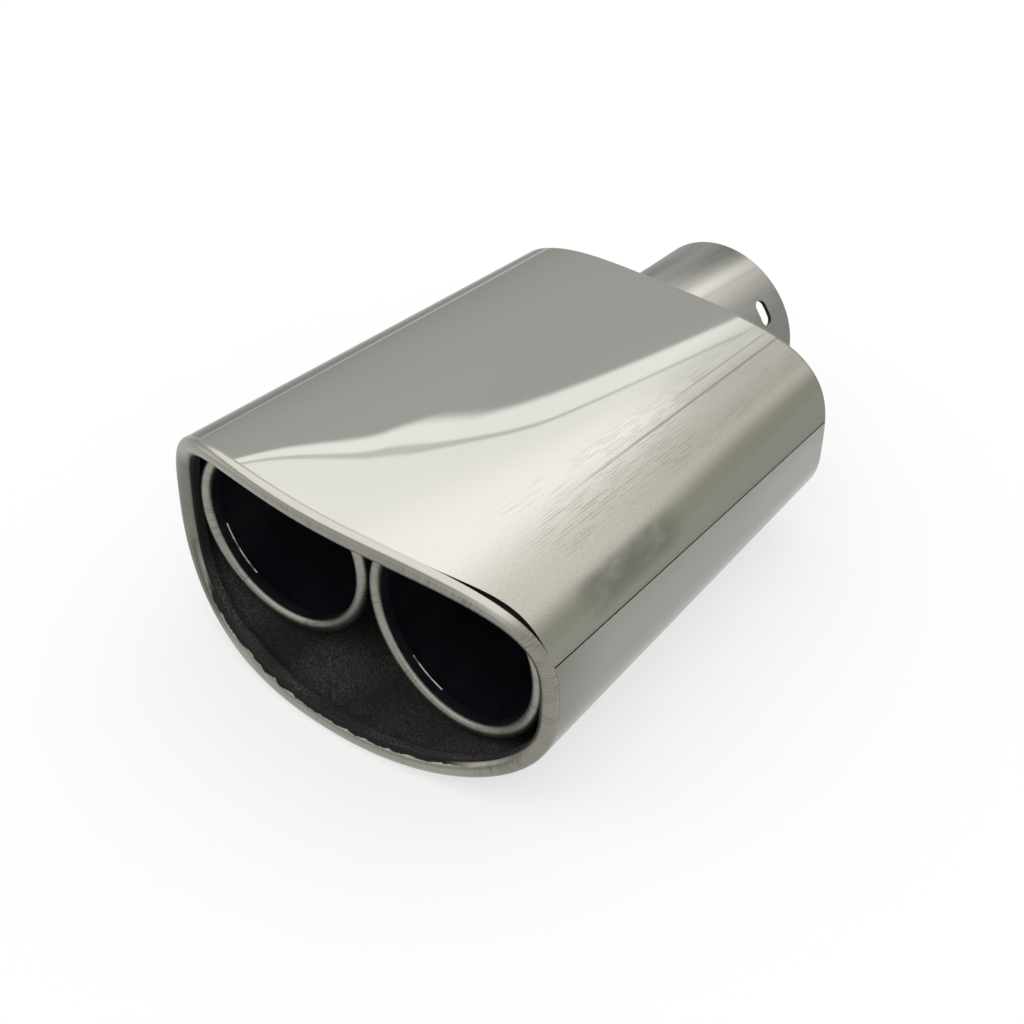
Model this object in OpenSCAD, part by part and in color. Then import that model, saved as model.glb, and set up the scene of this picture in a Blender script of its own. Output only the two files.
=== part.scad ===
// Exhaust tip with two outlet tubes: a welded sheet-steel trim for the end of a car's tail pipe.
// Two pressed halves form a shell that tapers from a wide mouth to a plate with a round neck.
// Inside the mouth a black wall, rolled over at its front, makes the bright lip of the shell.
// Two oval tubes with rolled rims open inside it, and a bulkhead carries their inner ends.
// Frame: the origin is the centre of the neck's open end, +Y points out of the neck,
// the mouth faces -Y, +X is the right-hand side across the mouth and +Z is up. Millimetres.

/* [Mouth] */
// Width of the mouth at its widest level
mouth_w = 160; // [150:1:176]
// Height of the mouth above its widest level
mouth_up = 44.5; // [42:0.5:50]
// Depth of the mouth below its widest level
mouth_down = 43; // [41:0.5:48]
// Squareness of the upper half of the mouth, where 2 is an ellipse
mouth_up_square = 2.9; // [2.6:0.05:3.4]
// Squareness of the lower half of the mouth
mouth_down_square = 2.65; // [2.5:0.05:3.2]
// How far the sides of the mouth stand behind its middle
mouth_bow = 17; // [6:1:20]

/* [Shell] */
// Length of the shell along its middle
body_len = 184; // [165:1:210]
// Width of the shell at its rear end
rear_w = 141; // [134:1:158]
// Height of the rear end above its own widest level
rear_up = 42.5; // [41:0.5:48]
// Depth of the rear end below its own widest level
rear_down = 34; // [33:0.5:42]
// Squareness of the upper half of the rear end
rear_up_square = 3.6; // [3:0.1:4.2]
// Squareness of the lower half of the rear end
rear_down_square = 2.3; // [2.2:0.05:2.8]
// How far the rear end's widest level lies below the mouth's
rear_drop = 2.5; // [0:0.5:4]
// Thickness of the two skins
skin_t = 1.2; // [0.8:0.1:1.6]
// Outside radius of the turned-in rear edge
rear_fold_r = 2.5; // [2:0.1:3]
// Thickness of the rear cap
cap_t = 1.5; // [1:0.1:2.5]

/* [Side seams] */
// Height of each seam above the widest level, at the mouth
seam_mouth_h = 17; // [10:1:24]
// Height of each seam above the widest level, at the rear end
seam_rear_h = 14.5; // [8:0.5:20]
// Width of the dark line between the skins
seam_gap = 0.3; // [0.1:0.05:0.6]

/* [Lip and inner wall] */
// Radius of the rolled lip
lip_r = 2.9; // [2.4:0.1:3.4]
// Extra depth of the lip's roll along the top of the mouth
lip_deep = 1.4; // [0:0.1:2]
// Length of the hem behind the lip
lip_hem = 3; // [2:0.5:6]
// Flat part of the lip between its roll and the edge of the skins
lip_flat = 0.6; // [0.4:0.1:1.5]
// Thickness of the inner wall
liner_t = 1; // [0.8:0.1:1.2]
// How far the inner wall reaches past the bulkhead
liner_tail = 8; // [5:1:15]

/* [Wear at the mouth] */
// Widest opening of the slit between the lip and the upper skin
slit_open = 1.8; // [0.2:0.1:2.5]
// Angle round the mouth at which the slit opens, near the right-hand seam
slit_low = 18; // [16:1:30]
// Angle round the mouth at which the slit closes
slit_high = 70; // [55:1:80]
// How far the pucker pushes the hem of the lip inwards
pucker_h = 1.4; // [0:0.1:1.8]
// Angle round the mouth of the pucker's middle
pucker_at = 253; // [235:1:270]
// Half the angle that the pucker takes up
pucker_half = 13; // [9:1:20]

/* [Tubes] */
// How far the rims' inner sides stand behind the middle of the mouth
tube_setback = 24; // [21:1:32]
// How far the outer side of each rim stands ahead of its inner side
tube_lead = 3.4; // [0:0.2:5]
// Length of each tube
tube_len = 80; // [60:1:90]
// Gap between the two rims
tube_gap = 1.2; // [0.4:0.1:4]
// Gap between each rim and the inner wall, at the side
tube_side_gap = 3.6; // [3:0.1:8]
// Gap between the rims and the inner wall, at the top
tube_top_gap = 5.4; // [4.4:0.1:9]
// Height of the open space below the rims
tube_floor_gap = 5.2; // [5:0.2:12]
// Height of the tubes' widest level above the mouth's
tube_rise = 2; // [0:0.5:6]
// Squareness of each tube, where 2 is an ellipse
tube_square = 2; // [2:0.05:2.4]
// Gap between a tube's inner end and the inner wall
tube_end_gap = 2.2; // [1.5:0.1:6]
// Thickness of the tubes
tube_t = 1; // [0.8:0.1:1.4]
// Radius of the rolled rims
rim_r = 2.2; // [1.6:0.1:2.6]
// Length of the hem inside each rim
rim_hem = 3; // [2:0.5:6]
// How far the tubes reach past the bulkhead
tube_tail = 4; // [2:0.5:8]
// Thickness of the bulkhead
bulkhead_t = 1.5; // [1:0.1:2.5]

/* [Inlet neck] */
// Outside diameter of the neck
neck_od = 63.5; // [57:0.5:65]
// Thickness of the neck
neck_t = 1.5; // [1.2:0.1:2.5]
// Length of the neck outside the shell
neck_len = 44; // [30:1:70]
// Length of the neck inside the shell
neck_in = 8; // [4:1:16]
// Height of the neck's axis above the mouth's widest level
neck_rise = 3; // [0:0.5:3.5]
// How far the neck is welded to the left of the shell's middle
neck_aside = 3; // [0:0.5:4]
// Radius of the weld bead round the neck
weld_r = 1.8; // [1.2:0.1:2]
// Length of the bolt slot round the neck
slot_len = 10; // [7:0.5:16]
// Width of the bolt slot
slot_w = 5.5; // [4:0.5:7]
// Distance of the bolt slot from the neck's open end
slot_back = 12.5; // [9:0.5:20]
// Angle of the bolt slot above the horizontal, on the right-hand side
slot_turn = 36; // [0:1:90]

/* [Fits] */
// Clearance between sheets that lie on each other
seat_gap = 0.3; // [0.15:0.05:0.4]

/* [Hidden] */

upper_steps = 50;
lower_steps = 62;
liner_steps = 96;
tube_steps = 56;
roll_steps = 8;
fold_steps = 4;
body_rows = 4;
round_fn = 96;
cut_over = 1;
lip_deep_past = 25;

rear_y = -neck_len;
mouth_y = rear_y - body_len;
level_z = -neck_rise;
shell_x = neck_aside;
liner_d = skin_t + seat_gap;
liner_in = liner_d + liner_t;
skin_front = lip_r + lip_flat;
tube_end_depth = tube_setback + tube_len;
bulkhead_depth = tube_end_depth - tube_tail;
liner_depth = bulkhead_depth + liner_tail;
neck_r = neck_od / 2;

// A power that keeps the sign of its base
function signed_pow(v, p) = sign(v) * pow(abs(v), p);

// A value part of the way from a to b
function between(a, b, share) = a + (b - a) * share;

// Point at angle s of a closed outline whose upper and lower halves have their own height
function outline_pt(s, w, up, down, up_p, down_p) =
    let (p = sin(s) >= 0 ? up_p : down_p, h = sin(s) >= 0 ? up : down)
    [w / 2 * signed_pow(cos(s), 2 / p), h * signed_pow(sin(s), 2 / p)];

// Outward normal of the same outline at the same angle
function outline_out(s, w, up, down, up_p, down_p) =
    let (p = sin(s) >= 0 ? up_p : down_p, h = sin(s) >= 0 ? up : down,
         g = [signed_pow(cos(s), 2 - 2 / p) * 2 / w, signed_pow(sin(s), 2 - 2 / p) / h])
    g / norm(g);

// The outline at angle s moved inwards by d, at the mouth and at the rear end
function mouth_pt(s, d) =
    outline_pt(s, mouth_w, mouth_up, mouth_down, mouth_up_square, mouth_down_square)
    - d * outline_out(s, mouth_w, mouth_up, mouth_down, mouth_up_square, mouth_down_square);
function rear_pt(s, d) =
    outline_pt(s, rear_w, rear_up, rear_down, rear_up_square, rear_down_square)
    - d * outline_out(s, rear_w, rear_up, rear_down, rear_up_square, rear_down_square)
    - [0, rear_drop];

// Distance of the mouth's edge behind its middle, and the shell's length, at angle s
function bow_at(s) = mouth_bow * pow(mouth_pt(s, 0).x * 2 / mouth_w, 2);
function length_at(s) = body_len - bow_at(s);

// Point in the shell's wall: angle s, depth d below the outer surface, and its place along
// the shell as a share of the length there plus a distance, both counted from the mouth
function shell_pt(s, d, share, plus) =
    let (back = share * length_at(s) + plus,
         q = between(mouth_pt(s, d), rear_pt(s, d), back / length_at(s)))
    [shell_x + q.x, mouth_y + bow_at(s) + back, q.y + level_z];

// Angle of a point at height h above the widest level
function angle_at(h, up, p) = asin(pow(h / up, p / 2));

// Angle of the right-hand seam at a share of the length, for a height above or below its line
function seam_angle(share, shift) =
    between(angle_at(seam_mouth_h + shift, mouth_up, mouth_up_square),
            angle_at(seam_rear_h + shift, rear_up, rear_up_square), share);

// A smooth hump that rises from 0 at low to 1 half-way and falls to 0 at high
function hump(v, low, high) =
    v <= low || v >= high ? 0 : pow(sin(180 * (v - low) / (high - low)), 2);

// Two small waves in the hem, one after the other round the mouth
function pucker(s) =
    let (a = s < 0 ? s + 360 : s)
    pucker_h * (hump(a, pucker_at - pucker_half, pucker_at + pucker_half * 0.3)
                + 0.7 * hump(a, pucker_at - pucker_half * 0.1, pucker_at + pucker_half));

// How much deeper the lip's roll is at angle s: along the top, and a little past both sides
function deeper(s) =
    lip_deep * sqrt(hump(s > 270 ? s - 360 : s, -lip_deep_past, 180 + lip_deep_past));

// How far the slit has opened at angle s
function slit_at(s) = slit_open * hump(s, slit_low, slit_high);

// Place of a skin's row between the mouth and the turned-in rear edge, as a distance that is
// added to its share of the length
function row_plus(i) = i == 0 ? skin_front : i == body_rows ? -rear_fold_r : 0;

// Section through a skin: inner side from the mouth to the rear edge, then back along the outer
// side. Each entry is a depth, a share of the length and a distance
skin_section = concat(
    [for (i = [0:body_rows]) [skin_t, i / body_rows, row_plus(i)]],
    [for (i = [1:fold_steps]) let (a = 90 * i / fold_steps, r = rear_fold_r - skin_t)
        [rear_fold_r - r * cos(a), 1, r * sin(a) - rear_fold_r]],
    [for (i = [fold_steps:-1:1]) let (a = 90 * i / fold_steps, r = rear_fold_r)
        [r - r * cos(a), 1, r * sin(a) - r]],
    [for (i = [body_rows:-1:0]) [0, i / body_rows, row_plus(i)]]);

// Section through a rolled edge of radius r in a sheet of thickness t, as depths and distances
// behind the edge: round the outside of the roll, along the hem, and back round the inside.
// The sheet's own inner face is at depth wall_in
function rolled_edge(r, t, hem, wall_in, bulge) =
    let (last = acos((r - wall_in) / (r - t)))
    concat(
        [for (i = [0:roll_steps]) let (a = 180 * i / roll_steps)
            [r - (r + bulge * i / roll_steps) * cos(a), r - r * sin(a)]],
        [[2 * r + bulge, r + hem], [2 * r + bulge - t, r + hem]],
        [for (i = [roll_steps:-1:0]) let (a = between(last, 180, i / roll_steps))
            [r - (r - t + bulge * (a > 90 ? (a - 90) / 90 : 0)) * cos(a), r - (r - t) * sin(a)]]);

// Section through the inner wall: its outer side, the step up to the lip, the roll and its hem
function liner_section(s) = concat(
    [[liner_d, 1, liner_depth - body_len], [liner_d, 0, skin_front - seat_gap],
     [0, 0, skin_front - seat_gap]],
    [for (q = rolled_edge(lip_r, liner_t, lip_hem, liner_in, pucker(s) + deeper(s)))
        [q[0], 0, q[1]]],
    [[liner_in, 1, liner_depth - body_len]]);

// A tube's outline, its size tied to the space that the inner wall leaves at the rims
rim_share = tube_setback / body_len;
room_side = between(mouth_pt(0, liner_in).x, rear_pt(0, liner_in).x, rim_share);
room_top = between(mouth_pt(90, liner_in).y, rear_pt(90, liner_in).y, rim_share);
room_floor = between(mouth_pt(270, liner_in).y, rear_pt(270, liner_in).y, rim_share);
tube_w = room_side - tube_side_gap - tube_gap / 2;
tube_x = tube_w / 2 + tube_gap / 2;
tube_up = room_top - tube_top_gap - tube_rise;
tube_down = tube_rise - room_floor - tube_floor_gap;

// The inner wall at the tubes' inner ends: at its side, and above and below a tube's middle
function end_wall(s) =
    between(mouth_pt(s, liner_in), rear_pt(s, liner_in), tube_end_depth / body_len);
end_side = end_wall(0).x;
end_top = lookup(tube_x, [for (s = [0:2:90]) end_wall(s)]);
end_floor = lookup(tube_x, [for (s = [270:2:360]) end_wall(s)]);

// The inner end's size as a share of the rim's, so that it clears the wall all round
tube_end_share = min((end_side - tube_end_gap - tube_x) / (tube_w / 2),
                     (end_top - tube_end_gap - tube_rise) / tube_up,
                     (tube_rise - end_floor - tube_end_gap) / tube_down);

// Point of a tube's outline moved inwards by d, at a distance behind its rim
function tube_pt(s, d, back) =
    let (k = between(1, tube_end_share, back / tube_len))
    k * outline_pt(s, tube_w, tube_up, tube_down, tube_square, tube_square)
    - d * outline_out(s, tube_w, tube_up, tube_down, tube_square, tube_square);

// Section through a tube: outer side, rolled rim with its hem, and inner side
tube_section = concat([[0, tube_len]], rolled_edge(rim_r, tube_t, rim_hem, tube_t, 0),
                      [[tube_t, tube_len]]);

// Outline of a plate across the shell, at a depth behind the middle of the mouth
function plate_outline(depth, d) =
    [for (i = [0:liner_steps - 1])
        let (q = shell_pt(360 * i / liner_steps, d, 1, depth - body_len)) [q.x, q.z]];

// Solid whose surface runs through rows of points, each row a closed loop round the section.
// A ring joins its last row to its first, and a strip is closed by its two end sections
module through_rows(rows, ring) {
    n = len(rows);
    m = len(rows[0]);
    half = m / 2;
    polyhedron(
        points = [for (r = rows) each r],
        faces = concat(
            [for (i = [0:n - (ring ? 1 : 2)]) for (j = [0:m - 1])
                let (a = i * m, b = ((i + 1) % n) * m, k = (j + 1) % m)
                each [[a + j, a + k, b + k], [a + j, b + k, b + j]]],
            ring ? [] : [for (j = [0:half - 2])
                let (k = m - 1 - j, e = (n - 1) * m)
                each [[j, k - 1, j + 1], [j, k, k - 1],
                      [e + j, e + j + 1, e + k - 1], [e + j, e + k - 1, e + k]]]),
        convexity = 8);
}

// Half of the shell, from seam to seam. The slit sets back the front edge of the upper half
module skin(steps, upper) {
    through_rows([for (i = [0:steps])
        [for (q = skin_section)
            let (edge = seam_angle(q[1], upper ? seam_gap / 2 : -seam_gap / 2),
                 s = between(upper ? edge : 180 - edge, upper ? 180 - edge : 360 + edge, i / steps),
                 open = upper && q[1] == 0 ? slit_at(s) : 0)
            shell_pt(s, q[0], q[1], q[2] + open)]], false);
}

module upper_skin() {
    color("silver") skin(upper_steps, true);
}

module lower_skin() {
    color("darkgray") skin(lower_steps, false);
}

module mouth_liner() {
    color("dimgray") through_rows([for (i = [0:liner_steps - 1])
        let (s = 360 * i / liner_steps)
        [for (q = liner_section(s)) shell_pt(s, q[0], q[1], q[2])]], true);
}

module tube(side) {
    color("gray") through_rows([for (i = [0:tube_steps - 1])
        [for (q = tube_section)
            let (p = tube_pt(360 * i / tube_steps, q[0], q[1]), aside = tube_x + side * p.x,
                 lead = tube_lead * (aside - tube_gap / 2) / tube_w * (1 - q[1] / tube_len))
            [shell_x + side * aside, mouth_y + tube_setback + q[1] - lead,
             p.y + tube_rise + level_z]]], true);
}

module left_tube() {
    tube(-1);
}

module right_tube() {
    tube(1);
}

module bulkhead() {
    back = bulkhead_depth - tube_setback;
    color("dimgray") translate([0, mouth_y + bulkhead_depth, 0]) rotate([90, 0, 0])
        linear_extrude(bulkhead_t) difference() {
            polygon(plate_outline(bulkhead_depth, liner_in + seat_gap));
            for (side = [-1, 1])
                translate([shell_x + side * tube_x, tube_rise + level_z])
                    polygon([for (i = [0:tube_steps - 1])
                        tube_pt(360 * i / tube_steps, -seat_gap, back - bulkhead_t)]);
        }
}

module rear_cap() {
    color("silver") difference() {
        translate([0, rear_y, 0]) rotate([90, 0, 0])
            linear_extrude(cap_t) polygon(plate_outline(body_len, rear_fold_r + seat_gap));
        translate([0, rear_y + cut_over, 0]) rotate([90, 0, 0])
            cylinder(h = cap_t + 2 * cut_over, r = neck_r + seat_gap / 2, $fn = round_fn);
    }
}

// Bolt slot: an oblong cut through the right-hand wall of the neck, longer round than along it
module bolt_slot() {
    reach = slot_len / 2 - slot_w / 2;
    translate([0, -slot_back, 0]) rotate([0, -slot_turn, 0]) {
        for (end = [-1, 1])
            translate([0, 0, end * reach]) rotate([0, 90, 0])
                cylinder(h = neck_r + cut_over, r = slot_w / 2, $fn = round_fn / 2);
        translate([0, -slot_w / 2, -reach]) cube([neck_r + cut_over, slot_w, 2 * reach]);
    }
}

module inlet_neck() {
    color("silver") difference() {
        rotate([90, 0, 0]) difference() {
            cylinder(h = neck_len + neck_in, r = neck_r, $fn = round_fn);
            translate([0, 0, -cut_over])
                cylinder(h = neck_len + neck_in + 2 * cut_over, r = neck_r - neck_t, $fn = round_fn);
        }
        bolt_slot();
    }
}

module neck_weld() {
    color("gray") translate([0, rear_y, 0]) rotate([-90, 0, 0])
        rotate_extrude($fn = round_fn)
            translate([neck_r, 0]) intersection() {
                circle(r = weld_r, $fn = round_fn / 2);
                square(weld_r);
            }
}

upper_skin();
lower_skin();
mouth_liner();
left_tube();
right_tube();
bulkhead();
rear_cap();
inlet_neck();
neck_weld();
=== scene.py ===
import math

import bmesh
import bpy
import numpy as np
from mathutils import Matrix, Vector


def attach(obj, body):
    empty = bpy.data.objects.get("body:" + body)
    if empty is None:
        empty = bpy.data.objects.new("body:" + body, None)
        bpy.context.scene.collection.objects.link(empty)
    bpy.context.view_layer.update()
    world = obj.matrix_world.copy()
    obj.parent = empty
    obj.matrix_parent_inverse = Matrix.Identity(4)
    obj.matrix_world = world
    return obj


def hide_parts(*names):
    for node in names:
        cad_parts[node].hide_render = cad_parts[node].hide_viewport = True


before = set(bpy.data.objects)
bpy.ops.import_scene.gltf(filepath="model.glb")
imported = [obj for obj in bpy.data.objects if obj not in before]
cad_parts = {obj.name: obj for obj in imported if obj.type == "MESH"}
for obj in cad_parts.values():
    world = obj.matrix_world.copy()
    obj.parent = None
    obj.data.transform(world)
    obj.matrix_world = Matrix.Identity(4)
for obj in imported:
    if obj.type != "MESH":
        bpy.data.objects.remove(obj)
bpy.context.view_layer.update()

# The outer shell: two pressed halves of stainless sheet, welded along the side seams and ground
# flush. Its top is mirror-polished, and its sides and lower half are left dull, with darker colours
# there that are painted shade. It tapers to the rear, where its edge is folded in. Lengths are
# millimetres, but metres inside the materials.
MM = 0.001
MOUTH = dict(width=160, up=44.5, down=43, up_square=2.9, down_square=2.65)
REAR = dict(width=141, up=42.5, down=34, up_square=3.6, down_square=2.3)
MOUTH_BOW = 17
BODY_LEN = 184
REAR_DROP = 2.5
NECK_LEN = 44
SHELL_X = 3
LEVEL_Z = -3
SKIN_T = 1.2
FOLD_R = 2.5
SEAM_MOUTH_H = 17
SEAM_REAR_H = 14.5
SEAM_LINE = 0.5
LIP_BACK = 3.2
LOWER_BACK = 0.1
SLIT_OPEN = 2.1
SLIT_ANGLES = (18, 70)
ROUND_STEPS = {"upper_skin": 240, "lower_skin": 280}
LONG_STEPS = 60
FOLD_STEPS = 8
SHEET_CREASE = 35
MOUTH_Y = -NECK_LEN - BODY_LEN


def signed_power(value, power):
    return np.sign(value) * np.abs(value) ** power


def outline(angle, width, up, down, up_square, down_square):
    """Points and outward normals of a closed outline at angles in degrees. The higher the
    numbers up_square and down_square, the squarer its upper and its lower half."""
    aside, rise = np.cos(np.radians(angle)), np.sin(np.radians(angle))
    square = np.where(rise >= 0, up_square, down_square)
    height = np.where(rise >= 0, up, down)
    at = np.stack([width / 2 * signed_power(aside, 2 / square),
                   height * signed_power(rise, 2 / square)], -1)
    out = np.stack([signed_power(aside, 2 - 2 / square) * 2 / width,
                    signed_power(rise, 2 - 2 / square) / height], -1)
    return at, out / np.linalg.norm(out, axis=-1, keepdims=True)


def shell_points(section):
    """Points in the shell's wall from angle, depth, share of the length and distance."""
    angle, depth, share, plus = np.moveaxis(section, -1, 0)
    mouth_at, mouth_out = outline(angle, **MOUTH)
    rear_at, rear_out = outline(angle, **REAR)
    bow = MOUTH_BOW * (mouth_at[..., 0] * 2 / MOUTH["width"]) ** 2
    length = BODY_LEN - bow
    back = share * length + plus
    rearward = (back / length)[..., None]
    depth = depth[..., None]
    across = (mouth_at - depth * mouth_out) * (1 - rearward)
    across = across + (rear_at - [0, REAR_DROP] - depth * rear_out) * rearward
    return np.stack([across[..., 0] + SHELL_X, MOUTH_Y + bow + back, across[..., 1] + LEVEL_Z], -1)


def hump(value, low, high):
    """A smooth hump: 0 up to low, 1 in the middle, and 0 again from high."""
    share = np.clip((value - low) / (high - low), 0, 1)
    return float(np.sin(np.pi * share) ** 2)


def seam_angle(share, shift):
    """Angle of the right-hand seam at a share of the length, a little above or below its line."""
    front, rear = (math.degrees(math.asin(((height + shift) / form["up"]) ** (form["up_square"] / 2)))
                   for height, form in ((SEAM_MOUTH_H, MOUTH), (SEAM_REAR_H, REAR)))
    return front + (rear - front) * share


def steps_between(first, last, count):
    return [first + (last - first) * i / count for i in range(count + 1)]


def finished_piece(name, mesh, crease):
    """The object for a mesh: faces outwards, smooth, with hard edges at over crease degrees."""
    work = bmesh.new()
    work.from_mesh(mesh)
    bmesh.ops.recalc_face_normals(work, faces=work.faces)
    for face in work.faces:
        face.smooth = True
    for edge in work.edges:
        edge.smooth = len(edge.link_faces) != 2 or edge.calc_face_angle(0) < math.radians(crease)
    work.to_mesh(mesh)
    work.free()
    piece = bpy.data.objects.new(name, mesh)
    bpy.context.scene.collection.objects.link(piece)
    return piece


def mesh_through_rows(name, rows, zone, ring, materials, kind):
    """Closed sheet-metal mesh through rows of section points. A ring joins its last row to its
    first, and a strip gets end faces. Its UV map sheet is metres round and along the section,
    and its UV map zone comes from the array zone. The function kind says which material a face
    has, from its row and its column."""
    height, width = rows.shape[:2]
    spans = np.arange(height if ring else height - 1)
    row, column = (grid.ravel() for grid in np.meshgrid(spans, np.arange(width), indexing="ij"))
    next_row, next_column = (row + 1) % height, (column + 1) % width
    corners = [row * width + column, next_row * width + column,
               next_row * width + next_column, row * width + next_column]
    faces = np.stack(corners, -1).tolist()
    closed = np.concatenate([rows, rows[:1]]) if ring else rows
    middle = rows[height // 2]
    around = np.linalg.norm(np.diff(closed[:, width // 2], axis=0), axis=-1)
    along = np.linalg.norm(np.diff(middle, axis=0, append=middle[:1]), axis=-1)
    u, v = (np.concatenate([[0], np.cumsum(lengths)]) * MM for lengths in (around, along))
    sheet = np.stack([u[row], v[column], u[row + 1], v[column],
                      u[row + 1], v[column + 1], u[row], v[column + 1]], -1)
    zones = np.concatenate([zone[row, column], zone[row + 1, column],
                            zone[row + 1, next_column], zone[row, next_column]], -1)
    kinds = [kind(int(at_row), int(at_column)) for at_row, at_column in zip(row, column)]
    last_row = (height - 1) * width
    for outer in range(0 if ring else width // 2 - 1):
        inner = width - 1 - outer
        faces += [[outer, outer + 1, inner - 1, inner],
                  [last_row + outer, last_row + inner, last_row + inner - 1, last_row + outer + 1]]
    end_faces = len(faces) - len(kinds)
    mesh = bpy.data.meshes.new(name)
    mesh.from_pydata((rows.reshape(-1, 3) * MM).tolist(), [], faces)
    for label, values in (("sheet", sheet), ("zone", zones)):
        layer = mesh.uv_layers.new(name=label)
        layer.data.foreach_set("uv", np.append(values, np.zeros((end_faces, 4, 2))))
    for material in materials:
        mesh.materials.append(material)
    mesh.polygons.foreach_set("material_index", kinds + [len(materials) - 1] * end_faces)
    return finished_piece(name, mesh, SHEET_CREASE)


def skin_section(front):
    """Columns of a skin's section, each a depth, a share of the length and a distance: inner
    side to the rear, round the folded edge, and back along the outer side."""
    along = [(0, front)] + [(i / LONG_STEPS, 0) for i in range(2, LONG_STEPS)] + [(1, -FOLD_R)]
    turns = [math.radians(angle) for angle in steps_between(0, 90, FOLD_STEPS)][1:]

    def side(depth):
        """One side of the sheet, from the front to the end of the fold."""
        radius = FOLD_R - depth
        fold = [(FOLD_R - radius * math.cos(turn), 1, radius * math.sin(turn) - FOLD_R) for turn in turns]
        return [(depth, share, plus) for share, plus in along] + fold

    return side(SKIN_T) + side(0)[::-1]


def skin(name, upper, round_steps, materials):
    """One half of the shell, from seam to seam. The seams are grooves that close at the inner
    face. The slit sets the upper half's front edge back. The front edge faces and the ends at the
    seams are near black, as painted shade."""
    section = skin_section(LIP_BACK if upper else LIP_BACK + LOWER_BACK)
    rows = np.zeros((round_steps + 1, len(section), 4))
    for i in range(round_steps + 1):
        for j, (depth, share, plus) in enumerate(section):
            groove = SEAM_LINE / 2 * max(0, 1 - depth / SKIN_T)
            seam = seam_angle(share, groove if upper else -groove)
            ends = (seam, 180 - seam) if upper else (180 - seam, 360 + seam)
            angle = ends[0] + (ends[1] - ends[0]) * i / round_steps
            opened = SLIT_OPEN * hump(angle, *SLIT_ANGLES) if upper and share == 0 else 0
            rows[i, j] = angle, depth, share, plus + opened
    zone = rows[..., [0, 2]] / [360, 1]
    return mesh_through_rows(name, shell_points(rows), zone, False, materials,
                             lambda row, column: int(column == len(section) - 1))


def feed(tree, socket, value):
    """Links a socket to an input, or sets the input's own value."""
    if isinstance(value, bpy.types.NodeSocket):
        tree.links.new(value, socket)
    else:
        socket.default_value = (*value, 1) if socket.type == "RGBA" else value


def shader_group(name, outputs):
    """An empty shader node group: a vector and an amount in, and named numbers out."""
    group = bpy.data.node_groups.new(name, "ShaderNodeTree")
    group.interface.new_socket("Vector", in_out="INPUT", socket_type="NodeSocketVector")
    group.interface.new_socket("Amount", in_out="INPUT", socket_type="NodeSocketFloat").default_value = 1
    for label in outputs:
        group.interface.new_socket(label, in_out="OUTPUT", socket_type="NodeSocketFloat")
    vector, amount = group.nodes.new("NodeGroupInput").outputs[:2]
    return group, vector, amount, group.nodes.new("NodeGroupOutput").inputs


def math_node(tree, kind, *values, clamp=False):
    made = tree.nodes.new("ShaderNodeMath")
    made.operation = kind
    made.use_clamp = clamp
    for socket, value in zip(made.inputs, values):
        feed(tree, socket, value)
    return made.outputs[0]


def times(tree, first, second, clamp=False):
    return math_node(tree, "MULTIPLY", first, second, clamp=clamp)


def ramp(tree, value, low, high, out_low=0.0, out_high=1.0, soft=True):
    """Maps value from low..high to out_low..out_high, with soft shoulders or straight."""
    made = tree.nodes.new("ShaderNodeMapRange")
    made.interpolation_type = "SMOOTHSTEP" if soft else "LINEAR"
    for socket, number in zip(made.inputs, (value, low, high, out_low, out_high)):
        feed(tree, socket, number)
    return made.outputs["Result"]


def band(tree, value, low, high, edge):
    """Mask that is 1 from low to high and fades over edge outside them."""
    return times(tree, ramp(tree, value, low - edge, low), ramp(tree, value, high + edge, high))


def noise(tree, vector, scale, detail=2.0, rough=0.5):
    """Noise on a vector stretched by scale on each axis, centred on 0.5."""
    mapping = tree.nodes.new("ShaderNodeMapping")
    made = tree.nodes.new("ShaderNodeTexNoise")
    feed(tree, mapping.inputs["Scale"], scale)
    feed(tree, mapping.inputs["Vector"], vector)
    feed(tree, made.inputs["Vector"], mapping.outputs[0])
    for label, value in (("Scale", 1.0), ("Detail", detail), ("Roughness", rough)):
        feed(tree, made.inputs[label], value)
    return made.outputs["Fac"]


def mottled(tree, vector, scale, low, high, detail=2.0, rough=0.5, least=0.0, most=1.0):
    """Noise made a mask: least where the noise is under low, and most where it is over high."""
    return ramp(tree, noise(tree, vector, scale, detail, rough), low, high, least, most)


def mixed(tree, factor, a, b):
    """Mixes two colours. Returns the colour socket."""
    made = tree.nodes.new("ShaderNodeMix")
    made.data_type = "RGBA"
    for socket, value in zip((made.inputs[0], made.inputs[6], made.inputs[7]), (factor, a, b)):
        feed(tree, socket, value)
    return made.outputs[2]


def new_material(name, metallic, roughness, base):
    """A node material. Returns it, its tree, its Principled shader and Object coordinates."""
    material = bpy.data.materials.new(name)
    material.use_nodes = True
    tree = material.node_tree
    shader = tree.nodes["Principled BSDF"]
    for label, value in (("Metallic", metallic), ("Roughness", roughness), ("Base Color", base)):
        feed(tree, shader.inputs[label], value)
    return material, tree, shader, tree.nodes.new("ShaderNodeTexCoord").outputs["Object"]


def uv_of(tree, label):
    made = tree.nodes.new("ShaderNodeUVMap")
    made.uv_map = label
    return made.outputs[0]


def parts_of(tree, vector):
    made = tree.nodes.new("ShaderNodeSeparateXYZ")
    feed(tree, made.inputs[0], vector)
    return made.outputs


def zone_of(tree):
    """The UV map zone as an angle round the mouth, in degrees, and a share."""
    parts = parts_of(tree, uv_of(tree, "zone"))
    return times(tree, parts["X"], 360), parts["Y"]


def placed(tree, group, vector, amount=1.0):
    """Places a node group on a vector. Returns its outputs."""
    made = tree.nodes.new("ShaderNodeGroup")
    made.node_tree = group
    feed(tree, made.inputs["Vector"], vector)
    feed(tree, made.inputs["Amount"], amount)
    return made.outputs


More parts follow.
